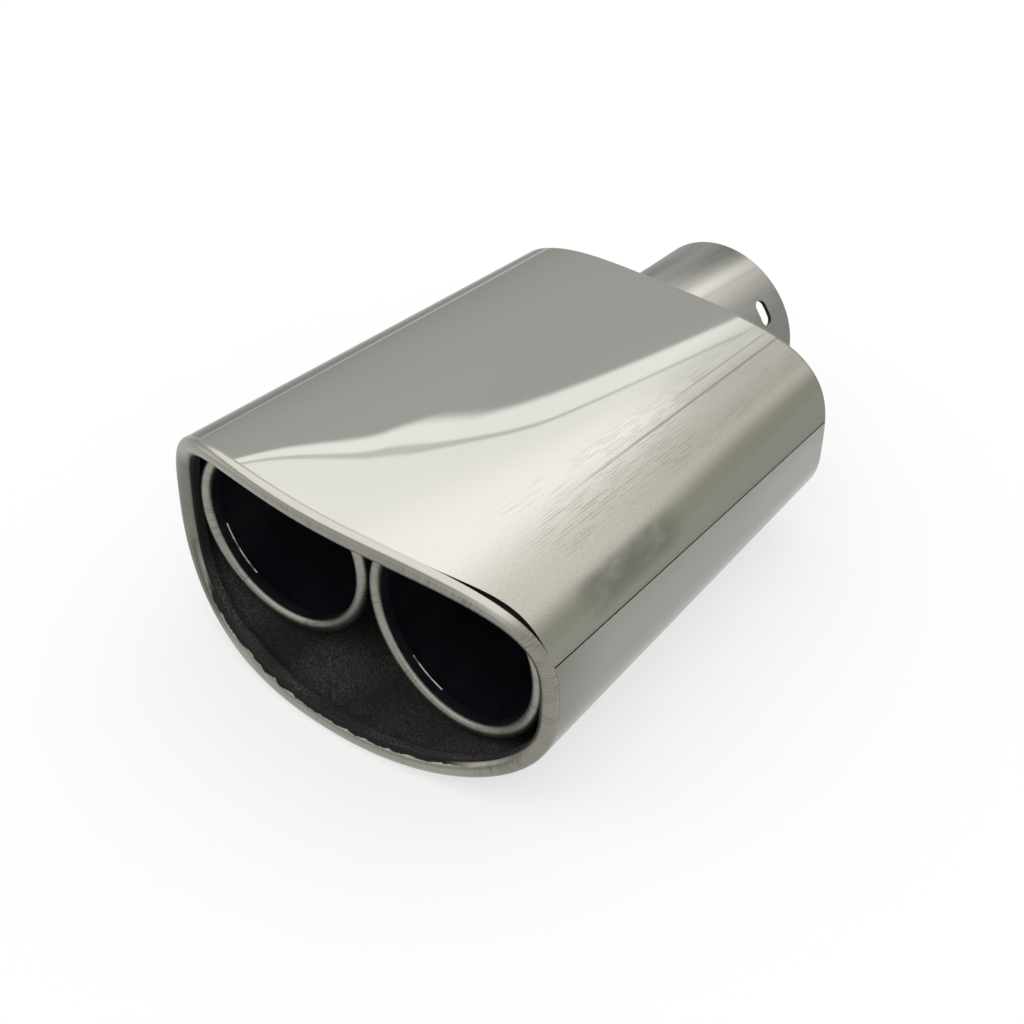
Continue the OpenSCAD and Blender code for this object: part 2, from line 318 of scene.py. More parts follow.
def add_bump(tree, shader, height, distance, strength=1.0):
    """Bump from a height, over any bump that the shader has already."""
    bump = tree.nodes.new("ShaderNodeBump")
    bump.inputs["Strength"].default_value = strength
    bump.inputs["Distance"].default_value = distance
    feed(tree, bump.inputs["Height"], height)
    if shader.inputs["Normal"].is_linked:
        tree.links.new(shader.inputs["Normal"].links[0].from_socket, bump.inputs["Normal"])
    tree.links.new(bump.outputs["Normal"], shader.inputs["Normal"])


DRAWN_SCALE = (2600, 60, 2600)
DRAWN_LEVELS = (0.52, 0.66)
DRAWN_PATCHES = dict(scale=(120, 24, 120), low=0.38, high=0.58)
COMB_PITCH = 7600
COMB_LEVELS = (0.1, 0.9)
COMB_BEND = 9
COMB_BEND_SCALE = (60, 9, 1)
COMB_RUNS = dict(scale=(800, 95, 1), detail=1.0, low=0.44, high=0.56)
COMB_PATCHES = dict(scale=(85, 17, 1), low=0.42, high=0.58)
STAINS = dict(scale=(22, 9, 22), detail=4.0, rough=0.55, low=0.46, high=0.72)
STAIN_GRAIN = dict(scale=(140, 60, 140), detail=3.0, rough=0.6, low=0.25, high=0.7, least=0.6)


def drawn_lines_group():
    """Fine broken lines that run along the second axis, as polishing leaves them."""
    group, vector, amount, out = shader_group("drawn_lines", ("Lines", "Height"))
    fine = noise(group, vector, DRAWN_SCALE, rough=0.6)
    lines = times(group, ramp(group, fine, *DRAWN_LEVELS), mottled(group, vector, **DRAWN_PATCHES))
    feed(group, out["Lines"], times(group, lines, amount, clamp=True))
    feed(group, out["Height"], times(group, fine, amount))
    return group


def comb_lines_group():
    """Even, close lines along the second axis, broken into short runs and gathered in patches."""
    group, vector, amount, out = shader_group("comb_lines", ("Lines",))
    bend = times(group, noise(group, vector, COMB_BEND_SCALE, 1.0), COMB_BEND)
    phase = math_node(group, "ADD", times(group, parts_of(group, vector)["X"], COMB_PITCH), bend)
    lines = ramp(group, math_node(group, "SINE", phase), *COMB_LEVELS)
    for mask in (mottled(group, vector, **COMB_RUNS), mottled(group, vector, **COMB_PATCHES), amount):
        lines = times(group, lines, mask, clamp=True)
    feed(group, out["Lines"], lines)
    return group


def smudges_group():
    """Cloudy handling marks and faint finger-wide stains, as a mask."""
    group, vector, amount, out = shader_group("smudges", ("Mask",))
    both = times(group, mottled(group, vector, **STAINS), mottled(group, vector, **STAIN_GRAIN))
    feed(group, out["Mask"], times(group, both, amount, clamp=True))
    return group


drawn_lines = drawn_lines_group()
comb_lines = comb_lines_group()
smudges = smudges_group()
# The olive tone is that of stains, and on the top's sides it is painted shade. The shaded tone is painted
# shade on the left shoulder.
POLISHED = (0.635, 0.635, 0.60)
SATIN = (0.43, 0.425, 0.385)
OLIVE_STAIN_AND_SHADE = (0.25, 0.25, 0.21)
SHADED = (0.175, 0.175, 0.16)
# The grime tone darkens marks. Beside the seam and towards the lower half's lip it is painted shade.
GRIME_AND_SHADE = (0.16, 0.16, 0.135)
# Painted shade: a specular tint that dims reflections at grazing angles, darkening the edges.
GRAZING_SHADE_TINT = (0.62, 0.62, 0.61)

# Angles are degrees round the mouth from its right-hand side, and shares are of the shell's
# length. Two numbers are where a fade starts and ends, and four say from and to which value too.
# Three are a band and the width of its fade. A mark has its angles first and then its shares.
TOP_SMUDGES = 0.10
SHOULDER_DROP = (0.3, 0.75, 0, 5)
SATIN_FROM = (68, 44)
RIGHT_SIDE = (38, 27)
LEFT_SIDE = (146, 160)
LEFT_SHOULDER = (130, 146, 5)
WORN = ((43, 52, 13), (0.15, 0.85))
WORN_REAR = ((62, 70, 8), (0.55, 0.8))
DRAWN_FIELD = ((45, 67, 5), (0.08, 0.25))
SCRATCH = ((60.4, 60.9, 0.4), (0.6, 0.88, 0.35))
SHORT_SCRATCH = ((65.2, 65.6, 0.3), (0.74, 0.93, 0.12))
SMUDGE = ((21, 30, 6), (0.2, 0.38, 0.1))
SMUDGE_EDGE = dict(scale=(90, 60, 90), detail=5.0, low=0.32, high=0.54)
SEAM_FALL = 6
BESIDE_SEAM = (16.4, 14.9)
MARK_DEPTHS = dict(worn=0.42, worn_rear=0.26, combed=0.38, drawn=0.24, scratch=0.62, short_scratch=0.4,
                   smudge=0.8, beside_seam=0.2)
GRAIN = dict(scale=(2200, 900, 1), detail=1.0, low=0.5, high=0.68, most=0.16)
GRAIN_FROM = (74, 50)
MIRROR_ROUGH = (0.3, 1.0, 0.02, 0.045)
SATIN_ROUGH = (72, 50, 0.0, 0.22)
DRAWN_BUMP = 0.00002


def upper_steel():
    """Mirror top, worn satin shoulder with drawn lines on the right, and olive sides whose darker
    colour is painted shade, deepest on the left shoulder.
    """
    material, tree, shader, place = new_material("upper_shell_steel", 1.0, 0.1, POLISHED)
    sheet = uv_of(tree, "sheet")
    turn, share = zone_of(tree)
    moved = math_node(tree, "SUBTRACT", turn, ramp(tree, share, *SHOULDER_DROP))

    def marked(angle, across, along):
        """A mark's mask: a band of angles, and along the shell a band with its fade or a ramp."""
        mask = band if len(along) == 3 else ramp
        return times(tree, band(tree, angle, *across), mask(tree, share, *along))

    colour = mixed(tree, placed(tree, smudges, place, TOP_SMUDGES)["Mask"], POLISHED, SATIN)
    colour = mixed(tree, ramp(tree, turn, *SATIN_FROM), colour, SATIN)
    # Painted shade: the olive sides and the darker left shoulder.
    sides = math_node(tree, "MAXIMUM", ramp(tree, moved, *RIGHT_SIDE), ramp(tree, turn, *LEFT_SIDE))
    colour = mixed(tree, sides, colour, OLIVE_STAIN_AND_SHADE)
    colour = mixed(tree, band(tree, turn, *LEFT_SHOULDER), colour, SHADED)
    field = marked(turn, *DRAWN_FIELD)
    drawn = placed(tree, drawn_lines, sheet, field)
    smudge = times(tree, marked(turn, *SMUDGE), mottled(tree, place, **SMUDGE_EDGE))
    seam = math_node(tree, "ADD", turn, times(tree, share, SEAM_FALL))
    # The darker band beside the seam is partly grime and partly painted shade.
    marks = dict(worn=marked(moved, *WORN), worn_rear=marked(turn, *WORN_REAR),
                 combed=placed(tree, comb_lines, sheet, field)["Lines"], drawn=drawn["Lines"],
                 scratch=marked(turn, *SCRATCH), short_scratch=marked(turn, *SHORT_SCRATCH),
                 smudge=smudge, beside_seam=ramp(tree, seam, *BESIDE_SEAM))
    for label, mask in marks.items():
        colour = mixed(tree, times(tree, mask, MARK_DEPTHS[label]), colour, GRIME_AND_SHADE)
    grained = times(tree, ramp(tree, turn, *GRAIN_FROM), mottled(tree, sheet, **GRAIN))
    mirror_rough = ramp(tree, share, *MIRROR_ROUGH, soft=False)
    rough = math_node(tree, "ADD", mirror_rough, ramp(tree, turn, *SATIN_ROUGH))
    feed(tree, shader.inputs["Base Color"], mixed(tree, grained, colour, GRIME_AND_SHADE))
    feed(tree, shader.inputs["Roughness"], rough)
    # Painted shade at the edges, from the specular tint.
    feed(tree, shader.inputs["Specular Tint"], GRAZING_SHADE_TINT)
    add_bump(tree, shader, drawn["Height"], DRAWN_BUMP)
    return material


# The lower half's colour is darker than bare steel as painted shade, for the dimmer floor that it
# reflects. Towards the lip it is darkened further, as painted shade.
LOWER = (0.285, 0.29, 0.265)
LOWER_LINES = 0.5
LOWER_LINE_DEPTH = 0.25
LOWER_STAIN_DEPTH = 0.5
LIP_SHADE = (0.2, 0.0)
LIP_SHADE_DEPTH = 0.6
LOWER_ROUGH = (0.22, 0.3)


def lower_steel():
    """Dull steel of the lower half, darker than the top as painted shade, with faint drawn lines
    and stains, and painted shade darkest at the lip.
    """
    material, tree, shader, place = new_material("lower_shell_steel", 1.0, LOWER_ROUGH[0], LOWER)
    share = parts_of(tree, uv_of(tree, "zone"))["Y"]
    lines = placed(tree, drawn_lines, uv_of(tree, "sheet"), LOWER_LINES)["Lines"]
    stains = placed(tree, smudges, place)["Mask"]
    colour = mixed(tree, times(tree, stains, LOWER_STAIN_DEPTH), LOWER, OLIVE_STAIN_AND_SHADE)
    colour = mixed(tree, times(tree, lines, LOWER_LINE_DEPTH), colour, GRIME_AND_SHADE)
    colour = mixed(tree, times(tree, ramp(tree, share, *LIP_SHADE), LIP_SHADE_DEPTH), colour, GRIME_AND_SHADE)
    feed(tree, shader.inputs["Base Color"], colour)
    feed(tree, shader.inputs["Roughness"], ramp(tree, stains, 0.0, 1.0, *LOWER_ROUGH))
    return material


# Painted shade: near black for faces that lie in shadow, the skins' front edges and seam ends, and the
# end of the lip's roll and the hem's edges.
painted_shade_edge = new_material("soot", 0.0, 0.8, (0.007, 0.007, 0.008))[0]
skin_metals = {"upper_skin": upper_steel(), "lower_skin": lower_steel()}
for name, metal in skin_metals.items():
    piece = skin(name + "_sheet", name == "upper_skin", ROUND_STEPS[name], [metal, painted_shade_edge])
    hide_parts(name)
    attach(piece, "root")

# The inner wall of the mouth: a black-coated sheet whose front edge is rolled over into the
# ground, satin lip. The hem is puckered at the lower left, the roll is deeper along the top,
# and it stands free of the upper skin in the open slit at the upper right.
SEAT_GAP = 0.3
LINER_T = 1.0
LINER_D = SKIN_T + SEAT_GAP
LINER_DEPTH = 108
LINER_ROUND = 400
LINER_WALL_RINGS = (0.06, 0.15, 0.3, 0.45)
LIP_R = 2.9
LIP_HEM = 3.0
LIP_DEEP = 1.4
LIP_DEEP_PAST = 25
PUCKER_H = 1.4
PUCKER_AT = 253
PUCKER_HALF = 13
PUCKER_WAVES = ((-1, 0.3, 1), (-0.1, 1, 0.7), (0.7, 1.5, 0.35))
HEM_EDGE = 0.5
ROLL_STEPS = 20
ROLL_FIRST = 3
BRIGHT_ROLL = 19


def lip_bulge(angle):
    """Extra reach of the lip's roll at an angle: deeper along the top, and the waves of the
    pucker, each from a start to an end in halves of the pucker and with its share of height."""
    beside_top = angle if angle <= 270 else angle - 360
    bulge = LIP_DEEP * math.sqrt(hump(beside_top, -LIP_DEEP_PAST, 180 + LIP_DEEP_PAST))
    for start, end, share in PUCKER_WAVES:
        wave = hump(angle, PUCKER_AT + PUCKER_HALF * start, PUCKER_AT + PUCKER_HALF * end)
        bulge += PUCKER_H * share * wave
    return bulge


def rolled_edge(radius, sheet, hem, wall_in, bulge, steps):
    """Section of a rolled edge as depths and distances behind it: round the outside of the
    roll, along the hem, and back round the inside to the sheet's own inner face."""
    inside = radius - sheet
    points = []
    for i, angle in enumerate(steps_between(0, 180, steps)):
        reach = radius + bulge * i / steps
        turn = math.radians(angle)
        points.append((radius - reach * math.cos(turn), radius - radius * math.sin(turn)))
    end = 2 * radius + bulge
    points += [(end, radius + hem - HEM_EDGE), (end, radius + hem), (end - sheet, radius + hem)]
    last = math.degrees(math.acos((radius - wall_in) / inside))
    for angle in steps_between(180, last, steps):
        reach = inside + bulge * max(angle - 90, 0) / 90
        turn = math.radians(angle)
        points.append((radius - reach * math.cos(turn), radius - inside * math.sin(turn)))
    return points


def liner_sheet(materials):
    """The inner wall and its lip. The materials are the bright roll's, the near black of painted
    shade on the end of the roll and the hem's edges, and the black one of the wall and of the
    hem's long face."""
    wall_in = LINER_D + LINER_T
    tail = LINER_DEPTH - BODY_LEN
    rows = []
    for angle in steps_between(0, 360, LINER_ROUND):
        roll = rolled_edge(LIP_R, LINER_T, LIP_HEM, wall_in, lip_bulge(angle), ROLL_STEPS)
        section = [(LINER_D, 1, tail), (LINER_D, 0, LIP_BACK), (0, 0, LIP_BACK)]
        section += [(depth, 0, back) for depth, back in roll]
        section += [(wall_in, share, 0) for share in LINER_WALL_RINGS] + [(wall_in, 1, tail)]
        rows.append([(angle, *point) for point in section])
    rows = np.array(rows)
    round_roll = np.clip((np.arange(rows.shape[1]) - ROLL_FIRST) / ROLL_STEPS, 0, 1)
    zone = np.stack(np.broadcast_arrays(rows[..., 0] / 360, round_roll), -1)
    hem = ROLL_FIRST + ROLL_STEPS
    past_hem = hem + 3

    def kind(row, column):
        if ROLL_FIRST - 1 <= column < ROLL_FIRST - 1 + BRIGHT_ROLL:
            return 0
        # The end of the roll and the hem's edges are painted shade.
        return 1 if ROLL_FIRST <= column < past_hem and column != hem else 2

    return mesh_through_rows("mouth_liner_sheet", shell_points(rows[:-1]), zone, True, materials, kind)


MARK_SCALE = (1500, 120, 1)
MARK_LEVELS = (0.42, 0.66)
MARK_PATCHES = dict(scale=(90, 60, 1), low=0.38, high=0.62, least=0.2)
MARK_SPECKS = dict(scale=(1300, 1300, 1), rough=0.6, low=0.66, high=0.74, most=0.8)


def cross_marks_group():
    """Fine grinding marks across a rolled edge, in patches, with a few dark specks."""
    group, vector, amount, out = shader_group("cross_marks", ("Marks", "Height"))
    fine = noise(group, vector, MARK_SCALE, rough=0.65)
    marks = times(group, ramp(group, fine, *MARK_LEVELS), mottled(group, vector, **MARK_PATCHES))
    marks = math_node(group, "MAXIMUM", marks, mottled(group, vector, **MARK_SPECKS))
    feed(group, out["Marks"], times(group, marks, amount, clamp=True))
    feed(group, out["Height"], fine)
    return group


cross_marks = cross_marks_group()
MARK_AMOUNT = 0.6
MARK_BUMP = 0.00004
EDGE_STAINS = dict(scale=(35, 35, 35), detail=3.0, low=0.5, high=0.75, most=0.5)
LIP_STEEL = (0.26, 0.255, 0.222)
LIP_MARKS = (0.13, 0.127, 0.105)
LIP_HIGHLIGHT = (0.40, 0.395, 0.345)
LIP_LEFT_SHADE = (0.12, 0.12, 0.10)
LIP_SHINE = (0.50, 0.495, 0.455)
LIP_RAGGED_BLACK = (0.015, 0.015, 0.015)
LIP_ROUGH = 0.32
SHINE_ROUGH = 0.2
SHINE_TURN = (46, 116, 14)
SHINE_ROLL = (0.44, 0.28)
HIGHLIGHT_TURN = (245, 300, 25)
HIGHLIGHT_DEPTH = 0.55
LEFT_SHADE_TURN = (165, 225, 20)
LEFT_SHADE_DEPTH = 0.4
RAGGED_TURN = (225, 300, 15)
RAGGED_SCALE = (130, 1, 1)
RAGGED_REACH = 0.4
RAGGED_FROM = (0.95, 0.98)


def rolled_steel(name, base, dark, roughness):
    """Satin metal of a rolled edge, ground across its length. Returns its tree and shader too,
    and the socket of its colour."""
    material, tree, shader, place = new_material(name, 1.0, roughness, base)
    marks = placed(tree, cross_marks, uv_of(tree, "sheet"), MARK_AMOUNT)
    colour = mixed(tree, marks["Marks"], base, dark)
    colour = mixed(tree, mottled(tree, place, **EDGE_STAINS), colour, dark)
    feed(tree, shader.inputs["Base Color"], colour)
    add_bump(tree, shader, marks["Height"], MARK_BUMP)
    return material, tree, shader, colour


def lip_steel():
    """The lip's metal: polished where it meets the top, darker at the left as painted shade,
    brighter along the bottom as a painted highlight, and near black at the ragged end of its hem."""
    material, tree, shader, colour = rolled_steel("ground_lip", LIP_STEEL, LIP_MARKS, LIP_ROUGH)
    turn, round_roll = zone_of(tree)
    shine = times(tree, band(tree, turn, *SHINE_TURN), ramp(tree, round_roll, *SHINE_ROLL))
    ragged = times(tree, noise(tree, uv_of(tree, "sheet"), RAGGED_SCALE, 3.0, 0.6), RAGGED_REACH)
    ragged = ramp(tree, math_node(tree, "ADD", round_roll, ragged), *RAGGED_FROM)
    ragged = times(tree, ragged, band(tree, turn, *RAGGED_TURN))
    # Painted highlight along the bottom, and painted shade at the left.
    colour = mixed(tree, times(tree, band(tree, turn, *HIGHLIGHT_TURN), HIGHLIGHT_DEPTH), colour, LIP_HIGHLIGHT)
    colour = mixed(tree, times(tree, band(tree, turn, *LEFT_SHADE_TURN), LEFT_SHADE_DEPTH), colour, LIP_LEFT_SHADE)
    colour = mixed(tree, shine, colour, LIP_SHINE)
    feed(tree, shader.inputs["Base Color"], mixed(tree, ragged, colour, LIP_RAGGED_BLACK))
    feed(tree, shader.inputs["Roughness"], ramp(tree, shine, 0.0, 1.0, LIP_ROUGH, SHINE_ROUGH))
    return material


COAT = (0.009, 0.009, 0.0105)
COAT_CRUST = (0.088, 0.087, 0.080)
CRUST_SCALE = (1500, 1500, 1500)
CRUST_LEVELS = (0.40, 0.66, 0.1, 1.0)
CRUST_PATCHES = dict(scale=(30, 14, 30), detail=3.0, low=0.32, high=0.66, least=0.2)
CRUST_HEIGHTS = (-0.012, -0.034, 0.08, 1.0)
CRUST_BUMP = 0.0003
COAT_SHINE = 0.25


def blackened_steel():
    """Matt black coat with a fine grey-brown crust of soot, thickest on the floor."""
    material, tree, shader, place = new_material("blackened_steel", 0.0, 0.85, COAT)
    grit = noise(tree, place, CRUST_SCALE, 3.0, 0.7)
    low = ramp(tree, parts_of(tree, place)["Z"], *CRUST_HEIGHTS)
    patches = times(tree, mottled(tree, place, **CRUST_PATCHES), low)
    specks = times(tree, ramp(tree, grit, *CRUST_LEVELS), patches)
    feed(tree, shader.inputs["Base Color"], mixed(tree, specks, COAT, COAT_CRUST))
    feed(tree, shader.inputs["Specular IOR Level"], COAT_SHINE)
    add_bump(tree, shader, grit, CRUST_BUMP, 0.7)
    return material


black_coat = blackened_steel()
liner = liner_sheet([lip_steel(), painted_shade_edge, black_coat])
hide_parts("mouth_liner")
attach(liner, "root")

# The two outlet tubes: thin oval tubes of plain steel with rolled rims, pushed through the
# bulkhead behind them. The rims are worn satin and the insides are black with exhaust soot.
TUBE_SETBACK = 24
TUBE_LEAD = 3.4
TUBE_LEN = 80
TUBE_GAP = 1.2
TUBE_SIDE_GAP = 3.6
TUBE_TOP_GAP = 5.4
TUBE_FLOOR_GAP = 5.2
TUBE_RISE = 2
TUBE_END_GAP = 2.2
TUBE_T = 1
TUBE_ROUND = 260
TUBE_WALL_RING = 0.3
RIM_R = 2.2
RIM_HEM = 3
RIM_STEPS = 16
GLINT_ANGLES = {"left_tube": (200, 236), "right_tube": (228, 254)}


def room(angle, axis, behind):
    """Reach of the inner wall along one axis, at a distance behind the mouth."""
    at_angle = np.array([float(angle)])
    (mouth_at, mouth_out), (rear_at, rear_out) = (outline(at_angle, **form) for form in (MOUTH, REAR))
    wall = LINER_D + LINER_T
    front = (mouth_at - wall * mouth_out)[0]
    rear = (rear_at - wall * rear_out)[0] - [0, REAR_DROP]
    return float((front + (rear - front) * behind / BODY_LEN)[axis])


tube_w = room(0, 0, TUBE_SETBACK) - TUBE_SIDE_GAP - TUBE_GAP / 2
tube_x = tube_w / 2 + TUBE_GAP / 2
tube_form = dict(width=tube_w, up=room(90, 1, TUBE_SETBACK) - TUBE_TOP_GAP - TUBE_RISE,
                 down=TUBE_RISE - room(270, 1, TUBE_SETBACK) - TUBE_FLOOR_GAP, up_square=2, down_square=2)
end_share = (room(0, 0, TUBE_SETBACK + TUBE_LEN) - TUBE_END_GAP - tube_x) / (tube_w / 2)


def tube_sheet(name, side, glint_angles, materials):
    """A tube through its section. The materials are the worn steel round the rim's roll, the
    painted glint at the lower left of the hem's edge, and the sooty steel of the rest."""
    section = [(0, TUBE_LEN)] + rolled_edge(RIM_R, TUBE_T, RIM_HEM, TUBE_T, 0, RIM_STEPS)
    section += [(TUBE_T, TUBE_WALL_RING * TUBE_LEN), (TUBE_T, TUBE_LEN)]
    depth, back = (numbers[None] for numbers in np.array(section, float).T)
    angles = np.array(steps_between(0, 360, TUBE_ROUND))
    at, out = (grid[:, None] for grid in outline(angles, **tube_form))
    taper = 1 + (end_share - 1) * back / TUBE_LEN
    across = at * taper[..., None] - out * depth[..., None]
    aside = tube_x + side * across[..., 0]
    lead = TUBE_LEAD * (aside - TUBE_GAP / 2) / tube_w * (1 - back / TUBE_LEN)
    rows = np.stack([SHELL_X + side * aside, MOUTH_Y + TUBE_SETBACK + back - lead,
                     across[..., 1] + TUBE_RISE + LEVEL_Z], -1)
    zone = np.stack(np.broadcast_arrays(angles[:, None] / 360, back / TUBE_LEN), -1)
    first, last = glint_angles
    hem_edge = RIM_STEPS + 2

    def kind(row, column):
        if 1 <= column < RIM_STEPS:
            return 0
        return 1 if column == hem_edge and first < angles[row] < last else 2

    return mesh_through_rows(name, rows[:-1], zone, True, materials, kind)


RIM_STEEL = (0.31, 0.307, 0.27)
RIM_MARKS = (0.12, 0.118, 0.10)
RIM_ROUGH = 0.38
GLINT_BREAKS = dict(scale=(130, 1, 1), low=0.36, high=0.50)
GLINT_DARK = (0.01, 0.01, 0.012)
GLINT_PALE = (0.85, 0.85, 0.80)
SOOT_FILM = dict(scale=(60, 18, 60), detail=4.0, rough=0.6, low=0.35, high=0.75)
SOOT_BLACK = (0.003, 0.004, 0.008)
SOOT_BLUE = (0.012, 0.013, 0.018)
SOOT_SHINE = 0.3


def painted_glint_line():
    """A painted glint: a pale, broken line along the edge of a hem."""
    material, tree, shader, place = new_material("painted_glint_line", 0.0, 0.4, GLINT_PALE)
    broken = mottled(tree, uv_of(tree, "sheet"), **GLINT_BREAKS)
    feed(tree, shader.inputs["Base Color"], mixed(tree, broken, GLINT_DARK, GLINT_PALE))
    return material


def sooty_steel():
    """Tube wall under a blue-black film of soot."""
    material, tree, shader, place = new_material("sooty_steel", 0.0, 0.5, SOOT_BLACK)
    film = mottled(tree, place, **SOOT_FILM)
    feed(tree, shader.inputs["Base Color"], mixed(tree, film, SOOT_BLACK, SOOT_BLUE))
    feed(tree, shader.inputs["Specular IOR Level"], SOOT_SHINE)
    return material


worn_rim = rolled_steel("worn_rim", RIM_STEEL, RIM_MARKS, RIM_ROUGH)[0]
# The middle material is a painted glint along part of each hem.
tube_metals = [worn_rim, painted_glint_line(), sooty_steel()]
for side, node in ((-1, "left_tube"), (1, "right_tube")):
    tube = tube_sheet(node + "_sheet", side, GLINT_ANGLES[node], tube_metals)
    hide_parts(node)
    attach(tube, "root")

# The bulkhead is a plain black-coated plate that carries the tubes' inner ends. It is spot
# welded to the inner wall, and is seen only deep between the tubes.
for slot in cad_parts["bulkhead"].material_slots:
    slot.material = black_coat

# The rear cap closes the shell round the neck. It is flat stainless sheet, dull like the lower
# half, and its edge sits inside the shell's folded rim.
CAP_LINES = 0.7
CAP_LINE_STRETCH = (1, 1, 0.05)
CAP_LINE_DEPTH = 0.3
CAP_STAIN_DEPTH = 0.45
CAP_ROUGH = (0.24, 0.36)
CAP_BUMP = 0.00001


def cap_steel():
    """Dull steel with lines drawn up and down the cap, and stains."""
    # The cap takes the lower half's colour, darker than bare steel as painted shade.
    material, tree, shader, place = new_material("cap_steel", 1.0, CAP_ROUGH[0], LOWER)
    turned = tree.nodes.new("ShaderNodeMapping")
    feed(tree, turned.inputs["Scale"], CAP_LINE_STRETCH)
    feed(tree, turned.inputs["Vector"], place)
    lines = placed(tree, drawn_lines, turned.outputs[0], CAP_LINES)
    stains = placed(tree, smudges, place)["Mask"]
    colour = mixed(tree, times(tree, stains, CAP_STAIN_DEPTH), LOWER, OLIVE_STAIN_AND_SHADE)
    colour = mixed(tree, times(tree, lines["Lines"], CAP_LINE_DEPTH), colour, GRIME_AND_SHADE)
    feed(tree, shader.inputs["Base Color"], colour)
    feed(tree, shader.inputs["Roughness"], ramp(tree, stains, 0.0, 1.0, *CAP_ROUGH))
    add_bump(tree, shader, lines["Height"], CAP_BUMP)
    return material


cap_metal = cap_steel()
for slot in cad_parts["rear_cap"].material_slots:
    slot.material = cap_metal

# The inlet neck: a short length of 63.5 mm stainless tube that slips over the car's tail pipe.
# Its ends are deburred, and an oblong hole near its rim takes the bolt that holds the trim.
NECK_R = 31.75
NECK_T = 1.5
NECK_IN = 8
NECK_ROUND = 0.35
NECK_ROUND_STEPS = 3
NECK_STEPS = 240
NECK_CREASE = 30
BOLT_SLOT = dict(length=10, width=5.5, back=12.5, turn=36)
SLOT_END = 0.499
SLOT_END_STEPS = 12
SLOT_BAR = (0.8, 1.2)
# Painted highlight and shade round the neck: angles in degrees and the grey there, with bright strips and
# darker sides. The slant below turns them along the neck, in degrees per metre.
NECK_LIGHT_AND_SHADE = ((23, 0.22), (45, 0.27), (56, 0.36), (61, 0.42), (64, 0.42), (67, 0.56), (71, 0.58),
              (77, 0.38), (84, 0.31), (92, 0.39), (100, 0.52), (112, 0.34), (130, 0.26), (165, 0.22))
NECK_WARMTH = 0.94
NECK_LIGHT_SLANT = 100
NECK_LINES = 0.25
NECK_SCRATCH = ((90.6, 91.0, 0.7), (-0.015, -0.012))
NECK_SCRATCH_DEPTH = 0.35
NECK_ROUGH = (0.0308, 0.0312, 0.6, 0.3)


def geometry_tree(name, inputs):
    """A Geometry Nodes tree with named inputs. Returns it, the sockets that hold its inputs,
    their identifiers, and a function that adds a node."""
    tree = bpy.data.node_groups.new(name, "GeometryNodeTree")
    tree.interface.new_socket("Geometry", in_out="OUTPUT", socket_type="NodeSocketGeometry")
    keys = {}
    for label, kind in inputs.items():
        socket = tree.interface.new_socket(label, in_out="INPUT", socket_type="NodeSocket" + kind)
        keys[label] = socket.identifier

    def add(kind, values, **settings):
        made = tree.nodes.new(kind)
        for key, value in settings.items():
            setattr(made, key, value)
        for key, value in values.items():
            feed(tree, made.inputs[key], value)
        return made.outputs

    return tree, tree.nodes.new("NodeGroupInput").outputs, keys, add


def end_tree(tree, given, add, geometry):
    """Ends a tree: real geometry, with the material that the tree was given."""
    real = add("GeometryNodeRealizeInstances", {"Geometry": geometry})
    metal = add("GeometryNodeSetMaterial", {"Geometry": real[0], "Material": given["Material"]})
    tree.links.new(metal[0], tree.nodes.new("NodeGroupOutput").inputs[0])


def grown_mesh(name, tree, keys, values):
    """The plain mesh that a Geometry Nodes tree makes from the values of its named inputs."""
    holder = bpy.data.objects.new(name, bpy.data.meshes.new(name))
    bpy.context.scene.collection.objects.link(holder)
    grown = holder.modifiers.new(name, "NODES")
    grown.node_group = tree
    for label, value in values.items():
        grown[keys[label]] = value
    mesh = bpy.data.meshes.new_from_object(holder.evaluated_get(bpy.context.evaluated_depsgraph_get()))
    bpy.data.objects.remove(holder)
    return mesh


def bearing(tree, first, second):
    """Angle in degrees of the direction that two parts of a vector give."""
    return times(tree, math_node(tree, "ARCTAN2", first, second), math.degrees(1))


def neck_steel():
    """Satin steel whose colour changes round the neck as painted highlight and shade, slanting
    along it, with one long scratch near its rim. The inside is rough."""
    material, tree, shader, place = new_material("neck_steel", 1.0, NECK_ROUGH[-1], OLIVE_STAIN_AND_SHADE)
    x, y, z = parts_of(tree, place)
    turn = bearing(tree, z, x)
    shifted = math_node(tree, "ADD", turn, times(tree, y, NECK_LIGHT_SLANT))
    # Painted highlight and shade, by angle round the neck.
    painted_light = tree.nodes.new("ShaderNodeValToRGB")
    feed(tree, painted_light.inputs[0], math_node(tree, "DIVIDE", shifted, 180))
    spots = painted_light.color_ramp.elements
    for old in list(spots)[1:]:
        spots.remove(old)
    for angle, grey in NECK_LIGHT_AND_SHADE:
        spot = spots[0] if angle == NECK_LIGHT_AND_SHADE[0][0] else spots.new(angle / 180)
        spot.position = angle / 180
        spot.color = (grey, grey, grey * NECK_WARMTH, 1)
    lines = placed(tree, drawn_lines, place, NECK_LINES)["Lines"]
    across, along = NECK_SCRATCH
    scratch = times(tree, band(tree, turn, *across), ramp(tree, y, *along))
    grime = math_node(tree, "MAXIMUM", times(tree, scratch, NECK_SCRATCH_DEPTH), lines)
    feed(tree, shader.inputs["Base Color"], mixed(tree, grime, painted_light.outputs[0], GRIME_AND_SHADE))
    # Painted shade at the edges, from the specular tint.
    feed(tree, shader.inputs["Specular Tint"], GRAZING_SHADE_TINT)
    flat = tree.nodes.new("ShaderNodeVectorMath")
    flat.operation = "MULTIPLY"
    feed(tree, flat.inputs[0], place)
    feed(tree, flat.inputs[1], (1, 0, 1))
    radius = tree.nodes.new("ShaderNodeVectorMath")
    radius.operation = "LENGTH"
    feed(tree, radius.inputs[0], flat.outputs[0])
    feed(tree, shader.inputs["Roughness"], ramp(tree, radius.outputs["Value"], *NECK_ROUGH))
    return material


